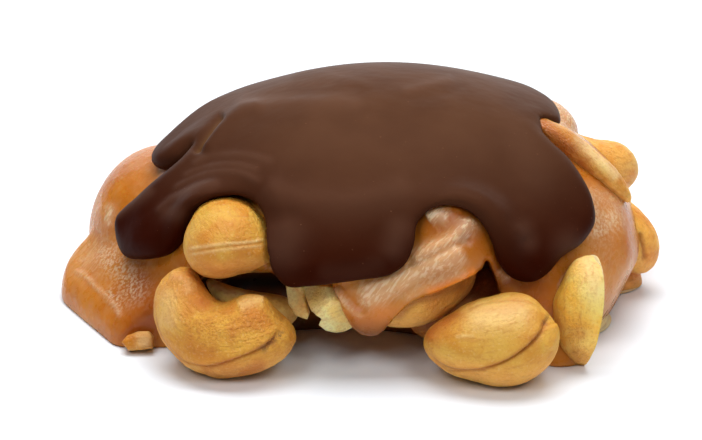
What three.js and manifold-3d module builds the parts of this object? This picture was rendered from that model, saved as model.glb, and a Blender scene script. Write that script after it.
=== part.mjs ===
// A chocolate cashew caramel cluster: roasted cashews set in a poured mound of soft caramel,
// with a dark chocolate cap that has run down between them.
// Millimetres, +Z up, X to the right and -Y to the front. The table is at z 0.
import * as THREE from 'three';
import { mergeVertices } from 'three/addons/utils/BufferGeometryUtils.js';
import Module from 'manifold-3d';

const wasm = await Module();
wasm.setup();

// Driving dimensions
const MIDDLE = [-0.3, 1.5, 0]; // under the middle of the whole, which becomes the origin
const CROWN = [2, 3, 6]; // inside the mound, where the slopes of the cap are measured from
const CORE = [2, 0, 8]; // a point that sees every lump of the caramel
const FIT_GAP = 0.3; // between two foods that touch
const BLEND = 2.2; // how softly two lumps of caramel run together
const CAP_THICKNESS = 3.2; // from the caramel to the top of the chocolate
const CAP_BED = 0.6; // the underside of the cap lies this far off the caramel
const CAP_EDGE_EXTRA = 1.1; // the chocolate stands thicker where it stopped running
const CAP_EDGE_WIDTH = 5;
const CAP_EDGE_ROUND = 2.8;
const CAP_STRETCH = [46.5, 39.5, 32]; // the mound's plan and height, which the slopes follow
const DEGREE_RUN = 0.7; // mm of run for one degree of slope
const NUT_FULLNESS = 2.6; // 2 gives a pointed nut, more a blunt one
const INNER_FLATNESS = 0.92; // the hollow side of a nut is a little flatter

// Mesh density
const SKIN_AROUND = 80;
const SKIN_TOP_ROWS = 4; // under the cap
const SKIN_SIDE_ROWS = 10; // from SIDE_FROM to SIDE_TO degrees below straight up
const SIDE_FROM = 52;
const SIDE_TO = 112;
const CAP_AROUND = 110;
const CAP_RINGS = 6;
const NUT_AROUND = 12;
const NUT_ALONG = 8;

const rad = THREE.MathUtils.degToRad;

// Looks of the three foods
const chocolateLook = new THREE.MeshStandardMaterial({ color: 0x3b2017, roughness: 0.35 });
const caramelLook = new THREE.MeshStandardMaterial({ color: 0xb9713a, roughness: 0.3 });
const cashewLook = new THREE.MeshStandardMaterial({ color: 0xd99a4a, roughness: 0.6 });

// Flat faces where the caramel was pressed: what lies further along the normal than its reach is gone
const leftSide = { normal: [-0.866, -0.5, 0], reach: 44.2 };
const leftSlope = { normal: [-0.612, -0.354, 0.707], reach: 35 };
const rightUndercut = { normal: [0.9, -0.35, -0.26], reach: 39.3 };
const PRESSED_SOFT = 1.6;

// Lumps of caramel that have run together: an ellipsoid each, squarer with a power above 2
const MOUND = { power: 2, faces: [rightUndercut] };
const ROUND = { power: 2, faces: [] };
const lumps = [
  { ...MOUND, at: [4.4, 3, 6], half: [44.3, 35.5, 28.6] }, // the mound under the chocolate
  { at: [-34, -7, 1], half: [18, 14, 15], power: 3, faces: [leftSide, leftSlope] }, // block at the left
  { ...ROUND, at: [-32, 9, 8], half: [14, 15, 16.5] }, // lobe at the back left
  { ...ROUND, at: [14, -23.5, 17.5], half: [8.5, 9, 10] }, // bulge at the front
  { ...ROUND, at: [27, -22, 7], half: [11, 9, 13] }, // skirt at the front right
  { ...MOUND, at: [34.5, -4, 9], half: [12, 14, 12] }, // sheet at the right
  { ...ROUND, at: [31.8, 24, 20], half: [6.3, 7, 6.3] }, // shoulder at the back right
  { ...ROUND, at: [-14, 27, 7], half: [17, 12, 14] }, // two lobes at the back
  { ...ROUND, at: [15, 29, 6], half: [15, 11, 13] },
];

// Caramel has run down from the front bulge as a film over a cashew, and on as a tongue
const film = { over: 'cashew_front_middle', thickness: 1.4, normal: [-0.42, -0.1, 0.9], reach: 10.9 };
const tongue = [
  { at: [1.6, -28, 11.2], half: [4.4, 4.2, 4.2] },
  { at: [0.6, -28.8, 9.2], half: [3.4, 3.1, 3.4] },
];
// Hollows under the front, open to the table, and a small one right of the bulge
const hollows = [
  { at: [-4, -31, 0], half: [25, 17, 16] },
  { at: [-18, -24, 3], half: [10, 10, 9] },
  { at: [20.4, -29.5, 11], half: [3, 7, 6] },
];

function softMin(a, b, soft) {
  const h = Math.max(soft - Math.abs(a - b), 0) / soft;
  return Math.min(a, b) - (h * h * soft) / 4;
}

// Distance to a lump's skin, close enough near it
function lumpDistance(p, lump) {
  const parts = p.map((v, i) => Math.abs(v - lump.at[i]) / lump.half[i]);
  const k = parts.reduce((sum, v) => sum + v ** lump.power, 1e-9) ** (1 / lump.power);
  const slope = Math.hypot(...parts.map((v, i) => (v / k) ** (lump.power - 1) / lump.half[i]));
  const round = (k - 1) / Math.max(slope, 1 / Math.max(...lump.half));
  return lump.faces.reduce((d, face) => {
    const past = face.normal.reduce((sum, n, i) => sum + n * p[i], 0) - face.reach;
    return -softMin(-d, -past, PRESSED_SOFT);
  }, round);
}

function caramelDistance(p) {
  return lumps.reduce((d, lump) => softMin(d, lumpDistance(p, lump), BLEND), 99);
}

// Where a straight line from a point inside leaves the caramel
function skinReach(from, direction) {
  let reach = 75;
  for (let step = 0; step < 80; step++) {
    const p = direction.toArray().map((v, i) => from[i] + v * reach);
    const d = caramelDistance(p);
    if (d < 0.01) break;
    reach -= d * 0.8;
  }
  return reach;
}

// A closed geometry as a solid for joining and cutting, and back
function solidFrom(geometry) {
  return new wasm.Manifold(
    new wasm.Mesh({
      numProp: 3,
      vertProperties: geometry.attributes.position.array,
      triVerts: new Uint32Array(geometry.index.array),
    }),
  );
}

function geometryFrom(solid) {
  const mesh = solid.getMesh();
  const g = new THREE.BufferGeometry();
  g.setAttribute('position', new THREE.BufferAttribute(mesh.vertProperties, 3));
  g.setIndex(new THREE.BufferAttribute(mesh.triVerts, 1));
  g.computeVertexNormals();
  return g;
}

function largest(solid) {
  return solid.decompose().reduce((a, b) => (b.volume() > a.volume() ? b : a));
}

function cutAll(solid, cutters) {
  return largest(cutters.reduce((left, cutter) => left.subtract(cutter), solid));
}

// A closed geometry's points, each moved to a new place by a function of its old one
function shaped(geometry, move) {
  const bare = geometry.clone();
  for (const name of ['normal', 'uv']) bare.deleteAttribute(name);
  const merged = mergeVertices(bare, 1e-4);
  const place = merged.attributes.position;
  const v = new THREE.Vector3();
  for (let i = 0; i < place.count; i++) {
    v.fromBufferAttribute(place, i);
    place.setXYZ(i, ...move(v));
  }
  return merged;
}

function ellipsoidSolid(lump) {
  const ball = new THREE.SphereGeometry(1, 16, 9);
  return solidFrom(shaped(ball, (v) => v.toArray().map((k, i) => lump.at[i] + k * lump.half[i])));
}

// Cashews
// A whole nut is a bent, tapered bar. x runs from its thin end to its thick end, the hollow of the
// bend faces +y, and z crosses the plane where its two halves meet. A half nut ends at that plane.
function cashewSpine(nut, t) {
  const STEPS = 24;
  const heading = (s) => rad(nut.bend) * (0.5 - (1 - s) ** (1 + nut.hook));
  const walk = (end) => {
    let x = 0;
    let y = 0;
    for (let i = 0; i < STEPS; i++) {
      const a = heading(((i + 0.5) / STEPS) * end);
      x += Math.cos(a) / STEPS;
      y += Math.sin(a) / STEPS;
    }
    return [x * end, y * end];
  };
  const [mx, my] = walk(0.5);
  const [x, y] = walk(t);
  return { x: (x - mx) * nut.spine, y: (y - my) * nut.spine, heading: heading(t) };
}

function cashewGeometry(nut, grow) {
  const ball = new THREE.SphereGeometry(1, NUT_AROUND, NUT_ALONG);
  return shaped(ball, (v) => {
    const lean = Math.acos(THREE.MathUtils.clamp(v.y, -1, 1));
    const around = Math.atan2(v.z, v.x);
    const t = (1 - Math.cos(lean)) / 2;
    const place = cashewSpine(nut, t);
    const full = (1 - Math.abs(2 * t - 1) ** NUT_FULLNESS) ** 0.5;
    const size = full * (1 - nut.taper * (1 - t));
    const flatness = Math.cos(around) > 0 ? INNER_FLATNESS : 1;
    const side = Math.cos(around) * ((nut.width / 2) * size * flatness + grow * Math.sin(lean));
    const out = Math.sin(around) * ((nut.depth / 2) * size + grow * Math.sin(lean));
    const end = -grow * Math.cos(lean);
    const c = Math.cos(place.heading);
    const s = Math.sin(place.heading);
    const x = place.x + end * c - side * s;
    const y = place.y + end * s + side * c;
    return [x, y, nut.half ? Math.max(out, -grow) : out];
  });
}

// Upright and facing the front with +y up: rolled in that plane, leaned back, then turned about the
// vertical
function nutMatrix(nut) {
  const upright = new THREE.Matrix4().makeRotationX(Math.PI / 2 - rad(nut.lean));
  const roll = new THREE.Matrix4().makeRotationZ(rad(nut.roll));
  const turn = new THREE.Matrix4().makeRotationZ(rad(nut.turn));
  const at = new THREE.Matrix4().makeTranslation(...nut.at);
  return at.multiply(turn).multiply(upright).multiply(roll);
}

// A nut as a solid: broken off at its snaps, and flattened a little where it stands on the table
function nutSolid(nut, grow) {
  let solid = solidFrom(cashewGeometry(nut, grow));
  for (const snap of nut.snaps ?? []) solid = solid.trimByPlane(snap.normal, snap.reach - grow);
  return solid.transform(nutMatrix(nut).toArray()).trimByPlane([0, 0, 1], 0);
}

const WHOLE = { spine: 19, width: 12, depth: 12, bend: 110, hook: 0.3, taper: 0.22, half: false };
const HALF = { ...WHOLE, depth: 11, half: true };
const nuts = [
  {
    ...WHOLE, name: 'cashew_front_left', at: [-23.6, -29.8, 6.27], roll: -37.5, lean: 40, turn: -9.4,
    spine: 26, width: 15.5, depth: 13.7, bend: 164, hook: 0.44,
  },
  {
    ...WHOLE, name: 'cashew_front_right', at: [20.4, -33.1, 6.9], roll: 10, lean: 75, turn: -14,
    spine: 20.3, width: 16.6, depth: 15.8, bend: 79,
  },
  {
    ...WHOLE, name: 'cashew_under_cap', at: [-21.3, -20, 18.9], roll: 0, lean: 90, turn: -103.5,
    width: 15, depth: 13, taper: 0.1,
  },
  {
    ...HALF, name: 'cashew_half_right', at: [35.7, -24.9, 8.5], roll: 94.7, lean: 10.6, turn: -72.6,
    spine: 17.7, width: 12.6, depth: 11.4, bend: 44, hook: 0.58,
  },
  {
    ...WHOLE, name: 'cashew_front_middle', at: [9.5, -25.5, 12], roll: 25, lean: 30, turn: 0,
    spine: 18.7, width: 12.4, bend: 80,
  },
  {
    ...HALF, name: 'cashew_half_in_hollow', at: [-16.5, -19, 7.2], roll: -14, lean: -35, turn: 0,
    spine: 18, width: 10.5, bend: 70,
  },
  {
    ...WHOLE, name: 'cashew_in_hollow', at: [16.5, -19.5, 6], roll: 22, lean: 40, turn: 0,
    width: 11, depth: 11, bend: 80,
  },
  {
    ...HALF, name: 'cashew_half_shoulder', at: [35.2, -4.9, 27.7], roll: -71, lean: -47.5,
    turn: -62, spine: 18, width: 9, depth: 7, bend: 30,
  },
  {
    ...WHOLE, name: 'cashew_right', at: [43.3, 3, 10.4], roll: 133, lean: 0, turn: 0, spine: 16.7,
  },
  {
    ...WHOLE, name: 'cashew_back_right', at: [38.6, 14, 17.9], roll: -39, lean: 30, turn: 38,
  },
  {
    ...HALF, name: 'cashew_half_right_edge', at: [38.5, 1.5, 0.2], roll: 0, lean: 90, turn: 0,
    width: 11, depth: 10.5, bend: 70,
  },
  {
    ...HALF, name: 'cashew_half_right_foot', at: [34.8, -13, 0.2], roll: 0, lean: 90, turn: 78,
    width: 11.5, depth: 10, bend: 60,
  },
  {
    ...HALF, name: 'cashew_piece_left', at: [-10.3, -22.5, 9.8], roll: 80, lean: 15, turn: 20,
    spine: 9, width: 5.5, depth: 6.5, bend: 40, snaps: [{ normal: [1, 0.2, 0.3], reach: -3.2 }],
  },
  {
    ...WHOLE, name: 'cashew_piece_middle', at: [-5.4, -26.5, 10.6], roll: 108, lean: 8, turn: 25,
    spine: 12, width: 9, depth: 8.5, bend: 50,
    snaps: [{ normal: [1, 0.35, -0.3], reach: -4.6 }, { normal: [0.3, -1, -0.5], reach: -3.2 }],
  },
  {
    ...HALF, name: 'cashew_chip', at: [-35.9, -21.6, 0], roll: 0, lean: 90, turn: 8,
    spine: 4.2, width: 4, depth: 5.2, bend: 30, snaps: [{ normal: [-1, 0, 0.25], reach: -1.8 }],
  },
  {
    ...WHOLE, name: 'cashew_back_left', at: [-32, 26.5, 6.2], roll: 12, lean: 78, turn: 150,
    width: 13,
  },
  {
    ...WHOLE, name: 'cashew_back_1', at: [-12.5, 35.5, 6.4], roll: -20, lean: 55, turn: 168,
    spine: 20, width: 13, bend: 125,
  },
  {
    ...HALF, name: 'cashew_back_2', at: [8.5, 37.5, 6.5], roll: 15, lean: 35, turn: 190,
    spine: 20, width: 12.5,
  },
  {
    ...WHOLE, name: 'cashew_back_3', at: [27.5, 30.5, 6.7], roll: -8, lean: 62, turn: 222,
    width: 13.5, depth: 13,
  },
  {
    ...WHOLE, name: 'cashew_back_high', at: [-1, 33.5, 16.5], roll: 8, lean: 70, turn: 178,
    width: 12.5,
  },
];

// The chocolate cap
// Its edge, as [bearing round the crown, slope down from it] in degrees: 0 is the right, 90 the back,
// 180 the left and 270 the front
const capEdge = [
  // the back right, behind the shoulder
  [351, 42], [7, 42.2], [20, 45.5], [31, 49.5], [44, 49.5], [60, 46.5],
  // a lobe at the back
  [76, 51], [87, 62], [98, 69], [110, 67], [122, 56], [134, 47], [155, 49],
  // the finger at the back left
  [174.5, 51.5], [184, 54.6], [188.5, 56], [190, 60],
  // the finger at the front left, over the block
  [190.8, 66], [192.5, 73.3], [199, 77.3], [208, 76.4], [215.8, 73.6], [218, 66.5],
  // round the cashew under the cap
  [218.6, 58.5], [221.2, 52.2], [231.5, 50.9], [240.3, 56], [245.5, 64],
  // the lobe at the front
  [248, 71], [253.5, 73], [264, 70], [272.5, 68.2], [277.2, 63.5],
  // round the bulge of caramel
  [279.3, 55], [284.5, 50.6], [290.5, 52], [294.2, 59.5],
  // the lobe at the front right
  [296.5, 68.5], [302, 73.7], [309, 69.7], [320, 66.8], [328, 60], [333.5, 50], [339, 40.5],
];
// The slit between the two fingers at the left, and the notch that it opens into
const slit = [
  [185, 55.3], [191.5, 54], [195, 49.5], [192, 42.2], [178, 34.6], [195, 40.2], [199, 46.5],
  [194.5, 55], [191.3, 64], [189, 72], [184, 72],
];
const SLIT_FROM = 15;
const SLIT_TO = 75;
const slopePlace = ([bearing, slope]) => [slope * Math.cos(rad(bearing)), slope * Math.sin(rad(bearing))];
const edgeStations = capEdge.map(slopePlace);

// A smooth closed line through the stations, u from 0 to 1
function edgeAt(u) {
  const n = edgeStations.length;
  const i = Math.floor(u * n) % n;
  const f = u * n - Math.floor(u * n);
  const [a, b, c, d] = [-1, 0, 1, 2].map((k) => edgeStations[(i + k + n) % n]);
  return [0, 1].map((k) => {
    const m = (c[k] - a[k]) / 2;
    const w = (d[k] - b[k]) / 2;
    const gap = c[k] - b[k];
    return b[k] + m * f + (3 * gap - 2 * m - w) * f * f + (m + w - 2 * gap) * f ** 3;
  });
}

const EDGE_STEPS = 240;
const edgeLine = Array.from({ length: EDGE_STEPS }, (_, i) => edgeAt(i / EDGE_STEPS));
const runs = [0];
edgeLine.forEach((e, i) => {
  const next = edgeLine[(i + 1) % EDGE_STEPS];
  runs.push(runs[i] + Math.hypot(next[0] - e[0], next[1] - e[1]));
});

// The same line, walked evenly
function evenEdge(share) {
  const run = share * runs[EDGE_STEPS];
  const i = runs.findIndex((r) => r > run) - 1;
  return edgeAt((i + (run - runs[i]) / (runs[i + 1] - runs[i])) / EDGE_STEPS);
}

function edgeDistance(q) {
  return DEGREE_RUN * Math.min(...edgeLine.map((e) => Math.hypot(q[0] - e[0], q[1] - e[1])));
}

function domeDirection(q) {
  const slope = rad(Math.hypot(...q));
  const bearing = Math.atan2(q[1], q[0]);
  const plan = Math.sin(slope);
  return new THREE.Vector3(
    CAP_STRETCH[0] * plan * Math.cos(bearing),
    CAP_STRETCH[1] * plan * Math.sin(bearing),
    CAP_STRETCH[2] * Math.cos(slope),
  ).normalize();
}

// A ball's upper half becomes the outside, its lower half the underside, and its equator the rim
function capGeometry(grow) {
  const ball = new THREE.SphereGeometry(1, CAP_AROUND, 2 * CAP_RINGS);
  return shaped(ball, (v) => {
    const u = (Math.atan2(v.z, -v.x) / (2 * Math.PI) + 1) % 1;
    const ring = Math.hypot(v.x, v.z);
    const q = evenEdge(u).map((k) => k * ring);
    const run = edgeDistance(q);
    const thickness = CAP_THICKNESS + CAP_EDGE_EXTRA * Math.exp(-((run / CAP_EDGE_WIDTH) ** 2));
    const rounding = Math.sqrt(1 - (1 - Math.min(run / CAP_EDGE_ROUND, 1)) ** 2);
    const half = ((thickness - CAP_BED) / 2) * rounding + grow;
    const side = Math.abs(v.y) < 1e-6 ? 0 : Math.sign(v.y);
    const direction = domeDirection(q);
    const reach = skinReach(CROWN, direction) + (thickness + CAP_BED) / 2 + side * half;
    return direction.toArray().map((k, i) => CROWN[i] + k * reach);
  });
}

// What the slit takes out of the cap: its outline seen from the crown, drawn out along those lines
function slitSolid() {
  const outline = new THREE.Shape(slit.map((station) => new THREE.Vector2(...slopePlace(station))));
  const prism = new THREE.ExtrudeGeometry(outline, { depth: 1, bevelEnabled: false });
  return solidFrom(
    shaped(prism, (v) => {
      const reach = SLIT_FROM + v.z * (SLIT_TO - SLIT_FROM);
      return domeDirection([v.x, v.y]).toArray().map((k, i) => CROWN[i] + k * reach);
    }),
  );
}

// Solids, the nuts first: each gives way to the ones before it
const nutSolids = [];
nuts.forEach((nut, i) => {
  const before = nuts.slice(0, i).map((other) => nutSolid(other, FIT_GAP));
  nutSolids.push(cutAll(nutSolid(nut, 0), before));
});
const grownNuts = nuts.map((nut) => nutSolid(nut, FIT_GAP));

const capSolid = cutAll(solidFrom(capGeometry(0)), [slitSolid(), ...grownNuts]);

// Rows of the skin from the top down, then straight to the bottom pole below the table
function skinSlope(row) {
  if (row <= SKIN_TOP_ROWS) return (row / SKIN_TOP_ROWS) * SIDE_FROM;
  const side = row - SKIN_TOP_ROWS;
  return side > SKIN_SIDE_ROWS ? 180 : SIDE_FROM + (side / SKIN_SIDE_ROWS) * (SIDE_TO - SIDE_FROM);
}

const skinRows = SKIN_TOP_ROWS + SKIN_SIDE_ROWS + 1;
const skin = shaped(new THREE.SphereGeometry(1, SKIN_AROUND, skinRows), (v) => {
  const row = Math.round((Math.acos(THREE.MathUtils.clamp(v.y, -1, 1)) / Math.PI) * skinRows);
  const slope = rad(skinSlope(row));
  const bearing = Math.atan2(-v.z, v.x);
  const direction = new THREE.Vector3().setFromSphericalCoords(1, slope, bearing);
  const aim = new THREE.Vector3(direction.z, direction.x, direction.y);
  const reach = skinReach(CORE, aim);
  return aim.toArray().map((k, i) => CORE[i] + k * reach);
});
const poured = hollows.reduce(
  (left, hollow) => left.subtract(ellipsoidSolid(hollow)),
  solidFrom(skin).trimByPlane([0, 0, 1], 0),
);
const filmed = nuts.find((nut) => nut.name === film.over);
const filmSolid = nutSolid(filmed, film.thickness).trimByPlane(film.normal, film.reach);
const caramelWhole = tongue.reduce((all, lump) => all.add(ellipsoidSolid(lump)), poured.add(filmSolid));
const caramelSolid = cutAll(caramelWhole, [...grownNuts, solidFrom(capGeometry(FIT_GAP))]);

const group = new THREE.Group();
function addPiece(name, solid, look) {
  const centred = solid.translate(MIDDLE.map((v) => -v));
  const mesh = new THREE.Mesh(geometryFrom(centred), look);
  mesh.name = name;
  group.add(mesh);
}
addPiece('chocolate_cap', capSolid, chocolateLook);
addPiece('caramel', caramelSolid, caramelLook);
nuts.forEach((nut, i) => addPiece(nut.name, nutSolids[i], cashewLook));

export default group;
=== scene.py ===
# Chocolate cashew caramel cluster, dressed for a product shot on white.
# Food shapes are worked out in millimetres and turned into metres when their mesh is made.
import bpy
import itertools
import math
import numpy as np
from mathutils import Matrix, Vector


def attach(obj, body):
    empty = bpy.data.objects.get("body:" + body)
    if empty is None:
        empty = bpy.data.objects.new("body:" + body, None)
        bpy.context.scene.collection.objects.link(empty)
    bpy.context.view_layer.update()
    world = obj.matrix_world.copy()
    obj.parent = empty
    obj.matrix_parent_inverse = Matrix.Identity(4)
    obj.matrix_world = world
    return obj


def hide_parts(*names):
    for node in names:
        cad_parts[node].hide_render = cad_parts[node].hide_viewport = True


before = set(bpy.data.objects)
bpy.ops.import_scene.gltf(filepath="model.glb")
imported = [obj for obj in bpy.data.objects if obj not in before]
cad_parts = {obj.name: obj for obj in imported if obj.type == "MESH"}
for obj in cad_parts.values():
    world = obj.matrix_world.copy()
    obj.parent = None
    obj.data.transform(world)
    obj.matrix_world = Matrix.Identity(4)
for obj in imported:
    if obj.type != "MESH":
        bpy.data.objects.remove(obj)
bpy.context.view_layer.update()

millimetre = 0.001
middle = np.array([-0.3, 1.5, 0.0])  # this point of the foods' own plan is the frame's origin


# small maths


def softMin(a, b, soft):
    h = np.maximum(soft - np.abs(a - b), 0) / soft
    return np.minimum(a, b) - h * h * soft / 4


def softMax(a, b, soft):
    return -softMin(-a, -b, soft)


def fade(value, start, end):
    t = np.clip((value - start) / (end - start), 0, 1)
    return t * t * (3 - 2 * t)


def lumpyNoise(points, size, seed):
    # smooth random values from -1 to 1, about size apart
    table = np.random.default_rng(seed).uniform(-1, 1, 8192).astype(np.float32)
    q = points / size + 256
    cell = np.floor(q).astype(np.int64)
    f = q - cell
    f = f * f * (3 - 2 * f)
    total = np.zeros(len(points), np.float32)
    for corner in itertools.product((0, 1), repeat=3):
        weight = np.ones(len(points), np.float32)
        spot = np.zeros(len(points), np.int64)
        for axis, stride in enumerate((1, 739, 5483)):
            weight *= f[:, axis] if corner[axis] else 1 - f[:, axis]
            spot += (cell[:, axis] + corner[axis]) * stride
        total += table[spot % 8192] * weight
    return total


# strokes, drawn on the front plan: mm right, mm up and mm out of it, as the cluster is seen from
# the front and 22 degrees above

lookDown = math.radians(22)
lineSteps = 6  # pieces that each stretch between two stations is cut into
stepReach = 1.6  # mm over which a step in the surface dies away
strokeEnds = 0.12  # share of a stroke's length over which it begins and ends
frontAxes = np.array([
    [1, 0, 0],
    [0, math.sin(lookDown), -math.cos(lookDown)],
    [0, math.cos(lookDown), math.sin(lookDown)],
])


def stroke(wide, *along, rise=0, step=0, spread=1.3, blunt=False, **paint):
    # mm wide, stations on the plan, mm raised, mm of step from side to side, and what it paints
    return dict(along=along, wide=wide, rise=rise, step=step, spread=spread, blunt=blunt, paint=paint)


def patch(wide, *along, **more):
    # a stroke that is as full at its ends
    return stroke(wide, *along, blunt=True, **more)


def smoothRun(a, b, c, d, f):
    # the share f of the way from b to c on a Catmull-Rom line
    return b + (c - a) / 2 * f + (a - 2.5 * b + 2 * c - d / 2) * f**2 + ((d - a) / 2 + 1.5 * (b - c)) * f**3


def openLine(stations):
    s = np.array(stations, float)
    s = np.concatenate([2 * s[:1] - s[1:2], s, 2 * s[-1:] - s[-2:-1]])
    f = np.arange(lineSteps)[:, None] / lineSteps
    return np.concatenate([*(smoothRun(*four, f) for four in zip(s, s[1:], s[2:], s[3:])), s[-2:-1]])


def nearStroke(points, normal, drawn):
    # the points it reaches, mm from it, which side of it, and how fully it acts there
    plan = (points @ frontAxes)[:, :2]
    facing = fade(normal @ frontAxes[:, 2], 0.0, 0.25)
    line = openLine(drawn["along"])
    reach = max(4 * drawn["wide"], 6)
    near = np.flatnonzero(
        (facing > 0) & (plan > line.min(0) - reach).all(1) & (plan < line.max(0) + reach).all(1)
    )
    p = plan[near]
    best, side, place = np.full(len(p), 1e9), np.zeros(len(p)), np.zeros(len(p))
    for k, (a, b) in enumerate(zip(line[:-1], line[1:])):
        run = b - a
        t = np.clip((p - a) @ run / (run @ run), 0, 1)
        dx, dy = (p - a - t[:, None] * run).T
        closer = dx * dx + dy * dy < best
        best = np.where(closer, dx * dx + dy * dy, best)
        side = np.where(closer, np.sign(run[0] * dy - run[1] * dx), side)
        place = np.where(closer, (k + t) / (len(line) - 1), place)
    share = facing[near]
    if not drawn["blunt"]:
        share = share * fade(place, 0, strokeEnds) * fade(1 - place, 0, strokeEnds)
    return near, np.sqrt(best), side, share


def sculpted(points, normal, strokes, paint):
    # raises, presses and paints the surface along the strokes
    push = np.zeros(len(points))
    for drawn in strokes:
        near, away, side, share = nearStroke(points, normal, drawn)
        push[near] += share * drawn["rise"] * np.exp(-((away / drawn["wide"]) ** 2))
        push[near] += share * drawn["step"] * side * np.exp(-away / stepReach)
        for key, amount in drawn["paint"].items():
            mark = amount * share * np.exp(-((away / (drawn["wide"] * drawn["spread"])) ** 2))
            paint[key][near] = np.maximum(paint[key][near], mark)
    return points + normal * push[:, None]


def outlineAway(plan, outline):
    # mm outside a closed outline, below zero inside it
    inside = np.zeros(len(plan), bool)
    best = np.full(len(plan), 1e9)
    x, y = plan.T
    for (ax, ay), (bx, by) in zip(outline, outline[1:] + outline[:1]):
        dx, dy = bx - ax, by - ay
        t = np.clip(((x - ax) * dx + (y - ay) * dy) / (dx * dx + dy * dy), 0, 1)
        best = np.minimum(best, (x - ax - t * dx) ** 2 + (y - ay - t * dy) ** 2)
        if ay != by:
            inside ^= ((ay > y) != (by > y)) & (x < ax + (y - ay) * dx / dy)
    return np.sqrt(best) * np.where(inside, -1, 1)


# skins of implicit shapes


def easeOnto(points, field, rounds=3, probe=0.04, limit=0.3):
    # moves points along the field's slope until they lie where it is zero
    for _ in range(rounds):
        value = field(points)
        slope = np.stack([(field(points + probe * step) - value) / probe for step in np.eye(3)], -1)
        push = value / np.maximum((slope**2).sum(-1), 0.15)
        points = points - slope * np.clip(push, -limit, limit)[:, None]
    return points


def largestPart(count, quads):
    # keeps the faces of the biggest joined part
    label = np.arange(count)
    while True:
        least = label[quads].min(1)
        new = label.copy()
        for k in range(4):
            np.minimum.at(new, quads[:, k], least)
        new = new[new]
        if (new == label).all():
            break
        label = new
    names, sizes = np.unique(label[quads[:, 0]], return_counts=True)
    return quads[label[quads[:, 0]] == names[sizes.argmax()]]


def netSkin(field, low, high, step):
    # a closed quad skin round everything where the field is below zero
    axes = [np.arange(a - 1.5 * step, b + 2.5 * step, step) for a, b in zip(low, high)]
    values = np.empty([len(a) for a in axes], np.float32)
    for start in range(0, len(axes[0]), 10):
        part = axes[0][start : start + 10]
        grid = np.stack(np.meshgrid(part, axes[1], axes[2], indexing="ij"), -1)
        values[start : start + 10] = field(grid.reshape(-1, 3)).reshape(grid.shape[:3])
    inside = values < 0
    corners = list(itertools.product((0, 1), repeat=3))
    nx, ny, nz = (n - 1 for n in values.shape)
    count = sum(inside[a : a + nx, b : b + ny, c : c + nz].astype(np.int8) for a, b, c in corners)
    cells = np.argwhere((count > 0) & (count < 8))
    number = np.full((nx, ny, nz), -1, np.int64)
    number[tuple(cells.T)] = np.arange(len(cells))
    at = {c: values[tuple((cells + c).T)] for c in corners}
    total = np.zeros((len(cells), 3))
    hits = np.zeros(len(cells))
    for a, b in itertools.combinations(corners, 2):
        if sum(abs(i - j) for i, j in zip(a, b)) != 1:
            continue
        crossed = (at[a] < 0) != (at[b] < 0)
        share = at[a] / np.where(crossed, at[a] - at[b], 1)
        spot = np.array(a) + share[:, None] * (np.array(b) - np.array(a))
        total += spot * crossed[:, None]
        hits += crossed
    origin = np.array([a[0] for a in axes])
    points = origin + (cells + total / hits[:, None]) * step
    quads = []
    for axis in range(3):
        u, v = (axis + 1) % 3, (axis + 2) % 3
        first = np.moveaxis(inside, axis, 0)
        change = np.argwhere(first[:-1] != first[1:])
        place = np.empty_like(change)
        others = [k for k in range(3) if k != axis]
        place[:, axis] = change[:, 0]
        place[:, others[0]] = change[:, 1]
        place[:, others[1]] = change[:, 2]
        place = place[(place[:, u] > 0) & (place[:, v] > 0)]
        du, dv = np.eye(3, dtype=np.int64)[u], np.eye(3, dtype=np.int64)[v]
        ring = np.stack([number[tuple((place - s).T)] for s in (du + dv, dv, 0 * du, du)], -1)
        outward = inside[tuple(place.T)]
        quads.append(np.where(outward[:, None], ring, ring[:, ::-1]))
    quads = largestPart(len(points), np.concatenate(quads))
    used, quads = np.unique(quads, return_inverse=True)
    return easeOnto(points[used], field), quads.reshape(-1, 4)


def foodPiece(name, points, faces, finish, values, vectors):
    # a smooth mesh in the frame, riding on the cluster, with its painted values
    mesh = bpy.data.meshes.new(name)
    mesh.from_pydata(((points - middle) * millimetre).tolist(), [], faces)
    mesh.polygons.foreach_set("use_smooth", np.ones(len(mesh.polygons), bool))
    for key, value in values.items():
        mesh.attributes.new(key, "FLOAT", "POINT").data.foreach_set("value", value.astype(np.float32))
    for key, value in vectors.items():
        layer = mesh.attributes.new(key, "FLOAT_VECTOR", "POINT")
        layer.data.foreach_set("vector", value.astype(np.float32).ravel())
    mesh.materials.append(finish)
    mesh.update()
    piece = bpy.data.objects.new(name, mesh)
    bpy.context.scene.collection.objects.link(piece)
    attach(piece, "root")
    return piece


# shader graph: values as expressions, everything else through add


class Wire:
    def __init__(self, finish, socket):
        self.finish = finish
        self.socket = socket

    def join(self, operation, a, b):
        return self.finish.add("ShaderNodeMath", {"operation": operation}, {0: a, 1: b})

    def __add__(self, other):
        return self.join("ADD", self, other)

    def __sub__(self, other):
        return self.join("SUBTRACT", self, other)

    def __rsub__(self, other):
        return self.join("SUBTRACT", other, self)

    def __mul__(self, other):
        return self.join("MULTIPLY", self, other)

    __radd__ = __add__
    __rmul__ = __mul__


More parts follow.
